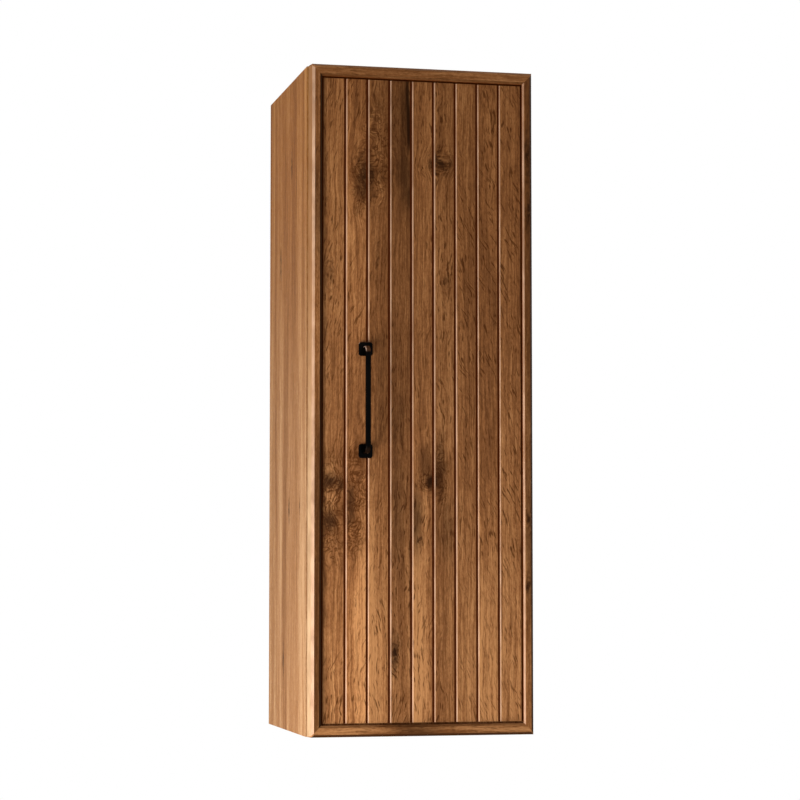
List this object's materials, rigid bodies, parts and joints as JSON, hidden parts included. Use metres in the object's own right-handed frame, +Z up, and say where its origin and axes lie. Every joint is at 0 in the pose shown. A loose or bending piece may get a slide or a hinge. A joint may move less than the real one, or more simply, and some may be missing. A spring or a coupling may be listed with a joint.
{
  "type": "bathroom cabinet",
  "caption": "Tall narrow wall-hung bathroom cabinet with a framed plank door on concealed pivots, inner shelves, a magnetic catch and a bar handle.",
  "frame": {"origin": "centre of the four wall-screw holes, on the wall plane", "axes": "+X to the right seen from the front, +Y towards the wall, +Z up"},
  "size_m": [0.365, 0.379, 1.05],
  "materials": {
    "oak_side": "matt light oak grain",
    "board_inside": "matt oak decor board",
    "back_board": "thin matt decor board",
    "oak_stile": "matt rustic oak, upright grain",
    "oak_rail": "matt rustic oak, level grain",
    "oak_planks": "matt rustic oak with knots",
    "beech": "turned beech",
    "black_metal": "satin black",
    "zinc_steel": "zinc plated",
    "nylon": "moulded",
    "magnet_black": "pressed ferrite",
    "soft_clear": "soft clear dot"
  },
  "bodies": {
    "carcass": {"side_panel_left": "oak_side", "side_panel_right": "oak_side", "top_panel": "oak_side", "bottom_panel": "oak_side", "shelf_lower": "board_inside", "shelf_middle": "board_inside", "shelf_upper": "board_inside", "hanging_rail_upper": "board_inside", "hanging_rail_lower": "board_inside", "back_panel": "back_board", "carcass_dowels": "beech", "shelf_pins": "zinc_steel", "pivot_plate_top": "zinc_steel", "pivot_plate_bottom": "zinc_steel", "pivot_pins": "zinc_steel", "pivot_plate_screws": "zinc_steel", "catch_screws": "zinc_steel", "catch_housing": "nylon", "catch_magnet": "magnet_black"},
    "door": {"door_panel": "oak_planks", "door_stile_left": "oak_stile", "door_stile_right": "oak_stile", "door_rail_top": "oak_rail", "door_rail_bottom": "oak_rail", "pivot_bush_top": "nylon", "pivot_bush_bottom": "nylon", "catch_strike_plate": "zinc_steel", "strike_screws": "zinc_steel", "handle_bar": "black_metal", "handle_rose_upper": "black_metal", "handle_rose_lower": "black_metal", "handle_screws": "zinc_steel", "door_bumpers": "soft_clear"}
  },
  "joints": [
    {"name": "door_swing", "type": "hinge", "parent": "carcass", "child": "door", "pos_m": [0.1733, -0.348, 0], "axis": [0, 0, 1], "range_deg": [0, 110]}
  ]
}
